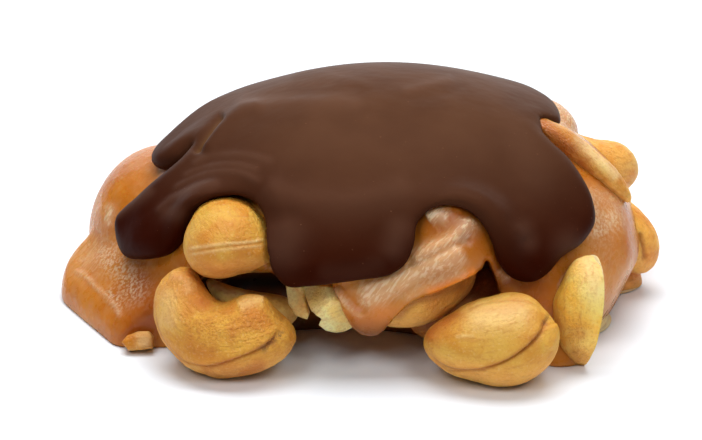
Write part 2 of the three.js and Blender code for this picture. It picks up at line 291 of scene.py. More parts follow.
class Finish:
    def __init__(self, name):
        self.material = bpy.data.materials.new(name)
        self.material.use_nodes = True
        self.tree = self.material.node_tree
        self.tree.nodes.clear()

    def add(self, kind, settings=None, sockets=None, output=0):
        node = self.tree.nodes.new(kind)
        for key, value in (settings or {}).items():
            setattr(node, key, value)
        for key, value in (sockets or {}).items():
            if isinstance(value, Wire):
                self.tree.links.new(value.socket, node.inputs[key])
            else:
                node.inputs[key].default_value = value
        return Wire(self, node.outputs[output]) if len(node.outputs) else None

    def placeMm(self):
        return self.stretched(self.add("ShaderNodeTexCoord", output=3), (1 / millimetre,) * 3)

    def stretched(self, vector, amounts):
        return self.add("ShaderNodeVectorMath", {"operation": "MULTIPLY"}, {0: vector, 1: amounts})

    def painted(self, key, output=2):
        return self.add("ShaderNodeAttribute", {"attribute_name": key}, output=output)

    def noise(self, vector, size, detail=3.0, rough=0.55, bend=0.0):
        # about 0.5 on average; size is the width of a blotch in the vector's units
        return self.add(
            "ShaderNodeTexNoise", {"noise_dimensions": "3D"},
            {"Vector": vector, "Scale": 1 / size, "Detail": detail, "Roughness": rough, "Distortion": bend},
        )

    def between(self, value, start, end):
        # 0 at start to 1 at end, eased
        return self.add(
            "ShaderNodeMapRange", {"interpolation_type": "SMOOTHSTEP"},
            {"Value": value, "From Min": start, "From Max": end},
        )

    def coloured(self, skin, *layers):
        # each layer covers a share of what is below it
        for share, shade in layers:
            below, above = (c if isinstance(c, Wire) else colour(c) for c in (skin, shade))
            skin = self.add("ShaderNodeMix", {"data_type": "RGBA"}, {0: share, 6: below, 7: above}, output=2)
        return skin

    def bumped(self, *layers):
        # heights, each with the mm that it stands for
        normal = {}
        for height, mm in layers:
            sockets = {"Height": height, "Distance": mm * millimetre, "Strength": 1.0, **normal}
            normal = {"Normal": self.add("ShaderNodeBump", {}, sockets)}
        return normal

    def surface(self, skin, rough, more, glow=()):
        # glow is the light that comes back out of the food: weight, reach by colour, metres
        glowing = dict(zip(("Subsurface Weight", "Subsurface Radius", "Subsurface Scale"), glow))
        sockets = {"Base Color": skin, "Roughness": rough, **more, **glowing}
        shader = self.add("ShaderNodeBsdfPrincipled", {}, sockets)
        self.add("ShaderNodeOutputMaterial", {}, {"Surface": shader})
        return self.material


def colour(code):
    # a screen colour such as "#5b4035" as the light it stands for
    parts = [int(code[i : i + 2], 16) / 255 for i in (1, 3, 5)]
    return (*[c / 12.92 if c < 0.04045 else ((c + 0.055) / 1.055) ** 2.4 for c in parts], 1)


# cashews: the shape of one nut

# A whole nut is a bent, tapered bar. x runs from its thin end to its thick end, the hollow of the
# bend faces +y, and z crosses the plane where its two halves meet. A half nut ends at that plane.
# Grabs pull the shape on the front plan: right and up of a point, and of the pull. Strokes are
# drawn there too.
wholeNut = dict(
    spine=19, width=12, depth=12, bend=110, hook=0.3, taper=0.22, half=False, grabs=[], strokes=[],
    seamDepth=0.3, lump=0.3, wrinkle=1, net=(90, 96), light="#e6b060", deep="#cd8a3c", toast=0.35,
    glazed=0.6, hug=1.6,
)
halfNut = dict(wholeNut, depth=11, half=True)
nutFullness = 2.6  # how blunt its tips are
innerFlatness = 0.92  # how far its hollow side stands out, beside the other
grabSoft = 3.2  # mm round its point that a grab pulls
spineSteps = 240
nearestSkip = 5  # every fifth point of the spine is enough to find the nearest one
halfRim = 0.5  # rounding of a half nut's rim
dishDepth = 1.1  # mm that its flat face is dished
seamPacking = 0.3  # how far the net's columns move towards the seam
seamWidth, seamDip = 0.28, 1.5  # mm to each side: the line itself, and the dip it lies in
pieceEdge, facetEdge = 0.8, 0.3  # rounding of a broken piece
pieceRoom, pieceStep = 7, 0.25  # mm round a broken piece that its net takes in, and the net's mesh
lowest = 0.02  # mm above the table

cashews = {
    "front_left": dict(
        wholeNut, at=(-23.6, -29.8, 6.27), roll=-37.5, lean=40, turn=-9.4, spine=26, width=15.5, depth=13.7,
        bend=164, hook=0.44, net=(230, 220), light="#e1a73b", deep="#d08527", toast=0.5, wrinkle=1.7,
        seamDepth=0, glazed=0.15, hug=0.8,
        grabs=[
            (-10.8, -5.4, 0.3, 0), (-12.7, -1.5, -0.8, -0.4), (-16.6, 0.2, 1, 0.7), (-19.7, 0.4, -0.6, 0.3),
            (-22.1, 0.6, 0.3, -1.2), (-25.7, 3.3, -0.2, 0.6), (-31.2, 3.7, 0.3, -0.4),
            (-33.3, -0.8, 0.6, -0.3), (-32.5, -5.4, 0.4, 0), (-30.2, -8.8, 0.7, 0.3), (-24.8, -12, 0.2, 0.4),
            (-19.2, -12.5, -0.2, 0.5), (-15.9, -11.6, -0.3, 0.3), (-12.6, -9.4, -0.4, 0.1),
        ],
        strokes=[
            patch(0.9, (-27.2, 4.6), (-25.7, 2.4), (-25, 0.2), toast=1.1),
            # where the two halves part, and the lower half under it
            stroke(
                0.28, (-33, -1), (-31.9, -5), (-30.5, -7.3), (-27.7, -9.4), (-24, -10), (-20.1, -8.9),
                (-16.9, -7.6), (-14.4, -6.2), (-12.4, -3.4), rise=-0.34, step=0.3, spread=1.6, crease=0.8,
                toast=0.5,
            ),
            stroke(0.7, (-28.5, -8.2), (-24, -9.1), (-19.6, -8), (-16, -6.6), rise=0.25),
            stroke(1, (-26, -11.2), (-19.8, -11.4), (-14.5, -9.8), toast=0.9),
            # toasted inner side of the hook, and the ridge beside it; the ridges carry painted highlights
            # along their crests
            patch(0.9, (-27.4, 4.4), (-25.6, 1.8), (-24.4, -0.2), toast=1),
            stroke(0.8, (-30.6, 4), (-28, 3.2), (-26.9, 0.8), rise=0.3, pale=0.25),
            stroke(0.5, (-13.6, 0), (-12.8, -1.6), (-12, -3), rise=-0.3, toast=0.7),
            stroke(0.7, (-19.5, -1), (-17.4, 0.1), (-15.2, 0.3), rise=0.3, pale=0.4),
            # scar
            patch(0.4, (-15.2, -7.2), (-14, -6.1), (-12.6, -5.2), rise=-0.12, spread=1.6, scar=0.7),
            # rough patch, and the pale left side
            patch(2.6, (-24, -4.6), (-19, -3.6), (-15, -3.4), rough=1),
            patch(1.4, (-30.6, 0.5), (-30.4, -3), pale=0.35),
        ],
    ),
    "front_right": dict(
        wholeNut, at=(20.4, -33.1, 6.9), roll=24, lean=66, turn=-28, spine=20.3, width=16.6, depth=15.8,
        bend=79, net=(220, 230), light="#e2b049", deep="#d5932a", toast=0.2, wrinkle=0.8, seamDepth=0,
        glazed=0.12, hug=0.8,
        grabs=[
            (30.8, -6, -0.2, 0), (29, -1.2, -0.7, -0.4), (24.9, 1.3, -0.2, -0.3), (20.7, 1.1, 0.1, -0.3),
            (13.6, -1.9, 0.4, -0.2), (10.3, -6, -0.5, 0), (12.3, -10.8, 0.6, 0.3), (16.8, -12.8, 0.4, 0.7),
            (24.3, -12.3, 0.2, -0.3),
        ],
        strokes=[
            stroke(
                0.3, (9.6, -7.4), (12.4, -9.8), (15.1, -10.5), (17.7, -10.4), (20.2, -9.7), (22.6, -8.6),
                (24.9, -7), (26.9, -5.2), (28.5, -2.9), rise=-0.42, step=0.36, spread=1.5, crease=1,
            ),
            stroke(0.7, (25.6, -6.6), (27.4, -4.9), (28.6, -2.6), rise=-0.2, toast=0.8),
            patch(0.35, (28, -3.3), (28.9, -2.4), rise=-0.25, scar=0.6),
            stroke(0.9, (28.6, -7.4), (29.9, -5.2), (29.4, -3.4), rise=0.35),
            stroke(0.15, (12.6, -11), (16.3, -10.9), (19.3, -10.6), rise=-0.1, crease=0.6),
            # faint edge along the top, and a flat below it; painted highlights on the flat and on a ridge
            # lower down
            stroke(
                0.22, (15.5, -1.7), (18.6, -0.3), (22.6, 0.2), (26.3, -0.2), (28.2, -1.7), rise=-0.12,
                step=-0.08, crease=0.35,
            ),
            stroke(0.25, (14.2, -5.3), (17.4, -5.1), rise=0.12, pale=0.35),
            patch(1.8, (18, -2.4), (24, -1.6), pale=0.45),
            patch(1.6, (10, -5), (13.4, -2.2), toast=1.1, rough=1),
        ],
    ),
    "under_cap": dict(
        wholeNut, at=(-21.3, -20, 18.9), roll=0, lean=90, turn=-103.5, width=15, depth=13, taper=0.1,
        net=(190, 170), seamDepth=0, light="#dba842", deep="#d28b2a", toast=0.15, glazed=0.35, hug=1,
        grabs=[
            (-14.7, 9.6, 0.6, 0.3), (-27.4, 12.9, 0.2, -0.2), (-27.5, 6.3, -0.2, -0.1),
            (-21.7, 2.9, 0.3, 0.5), (-18.3, 3.8, -0.9, 0.8), (-15.4, 5.9, 2.5, -1),
        ],
        strokes=[
            stroke(
                0.2, (-27.8, 8.1), (-24.6, 8.6), (-21.4, 9), (-18.3, 9.2), (-14.8, 9.7), rise=0.08, pale=0.5,
            ),
            stroke(0.2, (-27.6, 7.2), (-21.4, 8.1), (-15, 8.7), rise=0.07, pale=0.4),
            stroke(0.12, (-27.6, 7.6), (-21.4, 8.5), (-15, 9.2), rise=-0.08, crease=0.2),
            stroke(0.6, (-26.6, 9.9), (-24.2, 10.3), toast=0.5),
            patch(1.2, (-25.6, 5), (-20, 4.3), (-15.6, 5.6), toast=0.75),
            stroke(0.09, (-20.6, 13.3), (-16.6, 13.2), rise=-0.06, crease=0.3),
        ],
    ),
    "half_right": dict(
        halfNut, at=(35.9, -26, 8.6), roll=88.9, lean=7.4, turn=-73.9, spine=18.1, width=12.3, depth=12.9,
        bend=39.7, hook=0.45, taper=0.3, net=(180, 180), light="#fcdf76", deep="#f8bf44", toast=0.3,
        wrinkle=0.9, glazed=0.15, hug=0.9,
        grabs=[(30, -0.8, -0.5, 0), (30.6, 4.2, 0.5, -0.3)],
        strokes=[
            patch(1.8, (35.6, 6.4), (36.8, 2), pale=0.7),
            patch(1.7, (33.4, -5), (34.2, -8.2), toast=0.6, rough=0.7),
            patch(0.7, (30.4, -2), (31.4, -4.4), toast=0.7),
        ],
    ),
    "front_middle": dict(
        wholeNut, at=(9.8, -25.5, 12.2), roll=28, lean=30, turn=0, spine=18.7, width=12.4, bend=80,
        net=(150, 150), light="#f6bd56", deep="#e18d33", toast=0.6, wrinkle=1.8, glazed=0.2, hug=0,
        strokes=[
            stroke(0.7, (4.6, -3.4), (7.9, -0.2), (11.6, 1.2), (17.4, 3), glaze=0.9),
            stroke(0.7, (15.5, -0.9), (18.6, 2.4), pale=0.5),
        ],
    ),
    # pale as its cut rim is, and brighter still: painted light, as it sits in the shade of the nuts above
    "half_in_hollow": dict(
        halfNut, at=(-18.1, -20.5, 7.3), roll=-25.5, lean=22, turn=0, spine=15.8, width=7, depth=9, bend=41,
        hook=0.7, taper=0.6, net=(130, 130), light="#ffe388", deep="#ffd069", toast=0.2, glazed=0, hug=0,
        strokes=[
            stroke(0.5, (-24.4, 2.8), (-21.6, 1.3), (-18.2, 0.7), (-14.6, 0.6), pale=0.7),
            patch(1.2, (-12.6, -0.6), (-11.2, -2.4), toast=0.8),
        ],
    ),
    # its colours are darker than the other nuts': painted shade for a nut deep in the hollow
    "in_hollow": dict(
        wholeNut, at=(16.5, -19.5, 6), roll=22, lean=40, turn=0, width=11, depth=11, bend=80, toast=1,
        light="#c98a48", deep="#8f5322", hug=0,
    ),
    "half_shoulder": dict(
        wholeNut, at=(36.2, -2.1, 25.6), roll=138.2, lean=15.3, turn=8.3, spine=22, width=5, depth=8,
        bend=14, taper=0.12, seamDepth=0, lump=0.2, net=(150, 130), light="#f1ba52", deep="#d0862a",
        toast=0.2, glazed=0.3, hug=0.6,
        strokes=[
            patch(1.7, (29.6, 28.3), (31.2, 26.6), (33.6, 24.4), glaze=1.2),
            stroke(0.8, (34, 26.4), (38.2, 23), (42.6, 19.2), pale=0.7),
            stroke(0.6, (35, 22.6), (38, 20), toast=1),
        ],
    ),
    "right": dict(
        wholeNut, at=(43.3, 3, 10.4), roll=133, lean=0, turn=0, spine=16.7, net=(130, 120), light="#fbbc55",
        deep="#e08b2f", toast=0.7, glazed=0.2, hug=0.8,
        strokes=[stroke(0.35, (46.2, 10.8), (46.8, 8.8), (47.4, 5.6), rise=-0.5, crease=1)],
    ),
    "back_right": dict(
        wholeNut, at=(38.6, 14, 17.9), roll=-39, lean=30, turn=38, net=(130, 120), light="#f1c165",
        deep="#e4983a", toast=0.35, glazed=0.2, hug=1,
    ),
    "half_right_edge": dict(
        halfNut, at=(38.3, 3.9, 0.2), roll=0, lean=90, turn=0, width=11, depth=10.5, bend=70, toast=0.5,
        light="#f2a650", deep="#dc8838", hug=0.6,
    ),
    "half_right_foot": dict(
        halfNut, at=(36.9, -11.2, 0.2), roll=0, lean=90, turn=78, spine=10.5, width=8.6, depth=7, bend=60,
        light="#ffe0a0", deep="#f7c374", toast=0.1, glazed=0.1, hug=0.6,
    ),
    # pale as broken flesh is, and painted brighter still: painted light, as the cap shades it
    "piece_left": dict(
        wholeNut, at=(-10.3, -24.6, 9.6), light="#ffeda0", deep="#ffc16b", glazed=0, spine=8, width=6,
        toast=0.2, hug=0, thick=5,
        outline=[
            (-12.3, 3.2), (-9.2, 3), (-9, 0), (-8.3, -2), (-8.7, -3.1), (-10.6, -2.4), (-11.7, -0.6),
        ],
        facets=[((0.8, 0.2, 0.56), 2.3), ((-0.5, -0.2, 0.84), 1.7)],
    ),
    # pale as broken flesh is, and painted brighter still: painted light, as the cap shades it
    "piece_middle": dict(
        wholeNut, at=(-5.4, -28, 11.2), light="#fff7b0", deep="#ffd87d", glazed=0, spine=9, width=8,
        toast=0.15, hug=0, thick=6,
        outline=[
            (-9.4, 2.7), (-7.4, 2.5), (-4, 2.2), (-2.6, 0), (-1.4, -2.4), (-1.2, -4.5), (-2.7, -5),
            (-4.2, -5.2), (-5.7, -4.8), (-6.9, -3.9), (-6.4, -2.8), (-8, -1.6), (-8.8, 0.2),
        ],
        facets=[((-0.62, 0.25, 0.74), 1.9), ((0.34, 0.5, 0.8), 2.6), ((0.3, -0.66, 0.69), 2.2)],
    ),
    "chip": dict(
        wholeNut, at=(-35.9, -21.6, 1.9), light="#da9516", deep="#c2770d", glazed=0, spine=5, width=5,
        toast=0.3, hug=0, thick=4.4,
        outline=[
            (-38.6, -6.9), (-37.6, -5.8), (-36.1, -5.2), (-34.3, -5.2), (-33.6, -6), (-33.5, -7.9),
            (-37.4, -8.3),
        ],
        facets=[((0.1, 0.78, 0.62), 1.75)],
    ),
    "back_left": dict(
        wholeNut, at=(-32, 26.5, 6.2), roll=12, lean=78, turn=150, width=13, seamDepth=0.5, net=(110, 110),
    ),
    "back_1": dict(
        wholeNut, at=(-12.5, 35.5, 6.4), roll=-20, lean=55, turn=168, spine=20, width=13, bend=125,
        net=(120, 120), light="#e2a955", deep="#cb8438",
    ),
    "back_2": dict(
        halfNut, at=(8.5, 37.5, 6.5), roll=15, lean=35, turn=190, spine=20, width=12.5, net=(120, 120),
        light="#eec478", deep="#d59c42",
    ),
    "back_3": dict(
        wholeNut, at=(27.5, 30.5, 6.7), roll=-8, lean=62, turn=222, width=13.5, depth=13, seamDepth=0.5,
        net=(110, 110),
    ),
    "back_high": dict(
        wholeNut, at=(-1, 33.5, 16.5), roll=8, lean=70, turn=178, width=12.5, toast=0.6, net=(110, 110),
    ),
}


def grabMoves(points, grabs):
    # how far the grabs pull each point
    plan = (points @ frontAxes)[:, :2]
    move = np.zeros((len(points), 2))
    for x, y, right, up in grabs:
        share = np.exp(-((plan - (x, y)) ** 2).sum(1) / grabSoft**2)
        move += share[:, None] * (right, up)
    return move @ frontAxes[:, :2].T


def nutSpine(nut):
    # points and headings along the middle line, at even shares from the thin end to the thick end
    share = np.linspace(0, 1, spineSteps + 1)
    heading = np.radians(nut["bend"]) * (0.5 - (1 - share) ** (1 + nut["hook"]))
    half = (heading[1:] + heading[:-1]) / 2
    steps = np.cos(half), np.sin(half)
    x, y = (np.concatenate([[0], np.cumsum(step)]) / spineSteps * nut["spine"] for step in steps)
    return share, x - x[spineSteps // 2], y - y[spineSteps // 2], heading


def turned(axis, degrees):
    c, s = (way(math.radians(degrees)) for way in (math.cos, math.sin))
    return np.array([[1, 0, 0], [0, c, -s], [0, s, c]] if axis == "x" else [[c, -s, 0], [s, c, 0], [0, 0, 1]])


def nutTurn(nut):
    return turned("z", nut["turn"]) @ turned("x", 90 - nut["lean"]) @ turned("z", nut["roll"])


def nutPlan(points, nut):
    # where points lie in the nut: share along it, mm towards its hollow side, mm across the seam
    if nut["grabs"]:
        points = points - grabMoves(points, nut["grabs"])
    local = (points - nut["at"]) @ nutTurn(nut)
    share, x, y, heading = (a[::nearestSkip] for a in nutSpine(nut))
    away = (local[:, :1] - x) ** 2 + (local[:, 1:2] - y) ** 2
    near = away.argmin(1)
    dx, dy = local[:, 0] - x[near], local[:, 1] - y[near]
    c, s = np.cos(heading[near]), np.sin(heading[near])
    return share[near] + (dx * c + dy * s) / nut["spine"], dy * c - dx * s, local[:, 2]


def brokenField(points, nut):
    # a broken piece, cut to its outline on the front plan and to its facets
    seen = points @ frontAxes
    local = seen - nut["at"] @ frontAxes
    d = softMax(outlineAway(seen[:, :2], nut["outline"]), np.abs(local[:, 2]) - nut["thick"] / 2, pieceEdge)
    for normal, reach in nut["facets"]:
        d = softMax(d, local @ normal - reach, facetEdge)
    return d


def nutField(points, nut):
    # about the distance in mm outside the nut's skin
    if "outline" in nut:
        return brokenField(points, nut)
    along, side, out = nutPlan(points, nut)
    u = np.abs(2 * along - 1)
    size = 1 - nut["taper"] * (1 - np.clip(along, 0, 1))
    wide = nut["width"] / 2 * size * np.where(side > 0, innerFlatness, 1)
    deep = nut["depth"] / 2 * size
    k = np.sqrt(np.minimum(u, 3) ** nutFullness + (side / wide) ** 2 + (out / deep) ** 2) + 1e-6
    slope = np.sqrt(
        (nutFullness * np.minimum(u, 3) ** (nutFullness - 1) / nut["spine"]) ** 2
        + (side / wide**2) ** 2 + (out / deep**2) ** 2
    ) / k
    skin = (k - 1) / np.maximum(slope, 0.5 / nut["width"])
    return softMax(skin, -out, halfRim) if nut["half"] else skin


def joinNut(d, points, nut, join):
    # changes the field d where the nut is near, by what join makes of it and of the nut's own
    near = (np.abs(points - nut["at"]) < nut["spine"] * 0.5 + nut["width"]).all(1)
    if near.any():
        d[near] = join(d[near], nutField(points[near], nut), near)


# caramel

# lower edge of the hanging sheet, where the middle cashew comes out from under it
sheetEdge = [
    (4.1, -4), (5.2, -2.8), (6.4, -1.4), (7.9, -0.1), (9.7, 0.8), (11.6, 1.6), (13.5, 2.5), (15.6, 3.5),
    (17.4, 4.3),
]

caramel = {
    "pressedSoft": 1.6,
    "lumps": {
        # at, half sizes, squareness, softness where it joins, pressed faces
        "mound": ((4.4, 3, 6), (44.3, 35.5, 28.6), 2, 2.2, ["rightUndercut", "rightSide"]),
        "backLeftLobe": ((-32.3, 9, 8), (14.1, 15, 15), 2, 2.2, []),
        "block": ((-34, -7, 1), (18, 14.3, 15), 3, 1, ["leftSide", "leftSlope", "leftEnd"]),
        "bulge": ((14, -23.5, 17.5), (8.5, 9, 10), 2, 2.2, []),
        "skirt": ((27.5, -18, 7), (8.5, 9, 12.5), 2, 2.2, []),
        "skirtFoot": ((31.5, -24.6, 0.5), (4.5, 4.2, 4), 2, 1.5, []),
        "rightSheet": ((34.5, -4, 9), (12, 14, 12), 2, 2.2, ["rightUndercut", "rightSide"]),
        "shoulder": ((30.6, 23, 20.3), (7, 7, 6.5), 2, 2.2, []),  # lies beside the chocolate
        "backLobe": ((-14, 27, 7), (17, 12, 14), 2, 2.2, []),
        "otherBackLobe": ((15, 29, 6), (15, 11, 13), 2, 2.2, []),
    },
    "faces": {
        "rightSide": ((0.95, -0.1, 0.3), 46.7),
        "leftSide": ((-0.862, -0.498, 0.1), 44.9),
        "leftEnd": ((-1, 0, 0), 50.6),
        "leftSlope": ((-0.612, -0.354, 0.707), 33.7),
        "rightUndercut": ((0.88, -0.3, -0.36), 37.9),
    },
    "hollows": [
        # at, half sizes, rounding of the rim
        ((-4, -31, 0), (25, 17, 16), 2),
        ((-17, -24, 6), (12, 13, 9.5), 1.2),
        ((-22, -28, 8), (5, 8, 5), 1),
    ],
    # sheet of caramel that hangs over the middle cashew, with its edge drawn on the front plan
    "film": {
        "over": "front_middle",
        "thickness": 1.5,
        "folds": [
            ((1.6, -28, 11.2), (4.4, 4.2, 4.2)), ((0.6, -28.8, 9.2), (3.4, 3.1, 3.4)),
            ((-2.4, -26.6, 12.4), (3.2, 3.4, 3.6)), ((4, -25.5, 14.5), (8, 5, 4.5)),
        ],
        "foldSoft": 2.6,
        "edge": [
            (-5.2, 3.2), (-4.6, 1.9), (-3.7, 0), (-2.9, -2), (-2, -3.7), (-1.1, -4.6), (-0.2, -5.3),
            (1.2, -5.6), (2.5, -5.4), (3.4, -4.8), *sheetEdge, (18.7, 5.2), (19.6, 7), (22, 14), (-6, 14),
        ],
        "edgeSoft": 1.1,
        "blend": 2.2,
        "room": ((-8, -40, 0), (27, -12, 24)),  # it is worked out between these corners only
    },
    # opening below that edge, where the cashew shows with a dark pocket beside it
    "window": {
        "edge": [
            (2.9, -5.2), (3.5, -4.8), *sheetEdge, (18.6, 5.2), (19.2, 6.5), (19.8, 6.3), (20.6, 4.4),
            (21.4, 2.2), (22, 0), (22.2, -2), (14, -7), (3, -9),
        ],
        "behind": 22,
        "rim": 0.7,
    },
    "cling": 0.6,  # mm of skin that the caramel keeps below a nut it hugs
    "clingFade": (0.8, 0.5),  # mm outside its own skin from which it clings less, and how fast
    "tableEdge": 0.5,
    "room": ((-52, -44, 0), (52, 44, 37)),
    "step": 0.5,
    "dragAngle": 52,
    "strokes": [
        # folds of the hanging sheet, from the bulge down to its tip, with painted highlights on them
        stroke(
            1.1, (7.2, 5.9), (9.7, 7.7), (12.2, 8.9), (14.6, 10.2), (16.1, 11.8), (16.6, 13.3), rise=0.6,
            sheen=0.8,
        ),
        stroke(0.8, (6.5, 5.3), (9.7, 6.6), (12.5, 7.9), (15, 9.3), (17.2, 10.2), rise=-0.65),
        stroke(
            1.6, (-1.9, 0.5), (1.2, 1.2), (4, 2.3), (6.5, 3.7), (9, 5.2), (11.6, 6.4), (14.1, 7.5),
            (16, 8.6), rise=0.8, sheen=0.9,
        ),
        stroke(0.7, (4, -0.3), (6.5, 1.4), (9.2, 3), (12.2, 4.2), (15, 4.9), rise=-0.5),
        stroke(
            0.6, (5.6, 0.3), (7.8, 1.4), (10, 2.7), (12.5, 3.8), (15, 4.5), (16.6, 4.6), rise=0.35,
            sheen=0.5,
        ),
        stroke(0.45, (-4.2, 2.5), (-3.5, 1.1), (-2.6, -0.3), (-1.3, -1.5), (0.4, -2.3), rise=0.5, sheen=0.6),
        stroke(0.9, (-2.6, 1.2), (-1, -0.2), (1, -0.9), rise=-0.35),
        patch(2, (9, 9.8), (12, 11), rise=-0.7),
        stroke(1.2, (9.7, 12.7), (10.9, 14.3), (13.1, 14.8), (15.7, 13.6), rise=0.3),
        patch(2.6, (11, 12.6), (14.5, 13.2), (17.5, 10.4), rich=1),
        stroke(0.8, (10, 12.9), (11.4, 13.6), (13.4, 12.8), rise=0.2, sheen=1),
        patch(2, (-1.9, -2.4), (0.8, -4), (3, -2.8), warm=1),
        stroke(0.5, (9.5, 1.2), (14, 3), (18, 5.2), rise=0.2, warm=1),
        # painted shade: darker, redder caramel in the pocket under the right finger, with a small painted
        # highlight
        patch(2.6, (22, 5.4), (24.5, 3), (27.5, 0.5), (29, -3), rich=0.5),
        stroke(0.35, (22.4, 5.2), (23.6, 4.1), rise=0.2, sheen=1.3),
        # painted shade inside the hollows
        patch(2.2, (-21.2, 2.5), (-17, 2.6), (-13, 2.6), dark=1.2),
        patch(1.1, (-25.4, 2.6), (-24.2, -0.2), dark=1),
        patch(3, (-12, -4.6), (0, -6.5), (12, -6.5), dark=1),
        patch(1, (19.6, 4.6), (20.8, 1.6), dark=1),
        patch(2.4, (-35.6, 2.4), (-34.6, -2), (-35.6, -5), rich=1),
        # edge between the block's top and side, with a painted highlight, and scuffs painted pale as
        # highlights
        stroke(
            0.35, (-48.6, 4.4), (-46.2, 3.5), (-44, 1.9), (-41.7, 0.1), (-39.8, -1.5), (-38.9, -3.4),
            rise=0.2, sheen=0.35, scuff=0.5,
        ),
        patch(2, (-41.7, 6.6), (-39.4, 4.6), (-37.2, 1.9), scuff=0.9),
        patch(1, (-40.9, 0.6), (-39.4, -0.8), scuff=0.8),
        patch(2.6, (-46.5, 6), (-44.5, 8.2), sheen=0.35),
        # painted highlights on the lobe behind it
        patch(2.4, (-36.5, 23), (-34.6, 20.6), sheen=0.15),
        patch(0.8, (-42.3, 12.6), (-42, 14.4), sheen=0.8),
        # painted highlights on the shoulder and the right side, with a scuffed patch
        patch(3, (33, 32.2), (35, 30.8), (36.6, 28.2), sheen=0.8),
        patch(1.7, (36.6, 14.6), (37.6, 11.6), (40.6, 13), scuff=0.9, sheen=0.4),
        patch(3.2, (38.5, 10.5), (39.5, 4.5), (38, -1), sheen=0.2),
        patch(1.3, (37, 16.8), (42, 15.6), sheen=0.4),
        stroke(0.7, (21.2, 5.1), (22.9, 3.3), rise=0.3, sheen=0.4),
    ],
}


def lumpField(points, at, half, power=2, faces=()):
    parts = np.abs(points - at) / half
    k = ((parts**power).sum(-1) + 1e-9) ** (1 / power)
    slope = np.sqrt((((parts / k[:, None]) ** (power - 1) / np.array(half)) ** 2).sum(-1))
    d = (k - 1) / np.maximum(slope, 1 / max(half))
    for name in faces:
        normal, reach = caramel["faces"][name]
        d = softMax(d, points @ normal - reach, caramel["pressedSoft"])
    return d


def pouredField(points, leaveOut=None):
    # the poured mound with its lobes, before anything is carved or hung on it
    d = np.full(len(points), 99.0)
    for name, (at, half, power, soft, faces) in caramel["lumps"].items():
        if name != leaveOut:
            d = softMin(d, lumpField(points, at, half, power, faces), soft)
    return d


def filmField(points):
    film = caramel["film"]
    d = nutField(points, cashews[film["over"]]) - film["thickness"]
    for at, half in film["folds"]:
        d = softMin(d, lumpField(points, at, half), film["foldSoft"])
    return softMax(d, outlineAway((points @ frontAxes)[:, :2], film["edge"]), film["edgeSoft"])


def caramelField(points):
    d = pouredField(points)
    for at, half, rim in caramel["hollows"]:
        d = softMax(d, -lumpField(points, at, half), rim)
    film, window = caramel["film"], caramel["window"]
    low, high = film["room"]
    near = (points > low).all(1) & (points < high).all(1)
    if near.any():
        d[near] = softMin(d[near], filmField(points[near]), film["blend"])
        seen = points[near] @ frontAxes
        opening = np.maximum(outlineAway(seen[:, :2], window["edge"]), window["behind"] - seen[:, 2])
        d[near] = softMax(d[near], -opening, window["rim"])
    start, pace = caramel["clingFade"]
    under = caramel["cling"] + pace * np.maximum(d - start, 0)
    for nut in cashews.values():
        if nut["hug"]:
            joinNut(d, points, nut, lambda own, skin, near: softMin(own, skin + under[near], nut["hug"]))
    return softMax(d, -points[:, 2], caramel["tableEdge"])


# chocolate cap

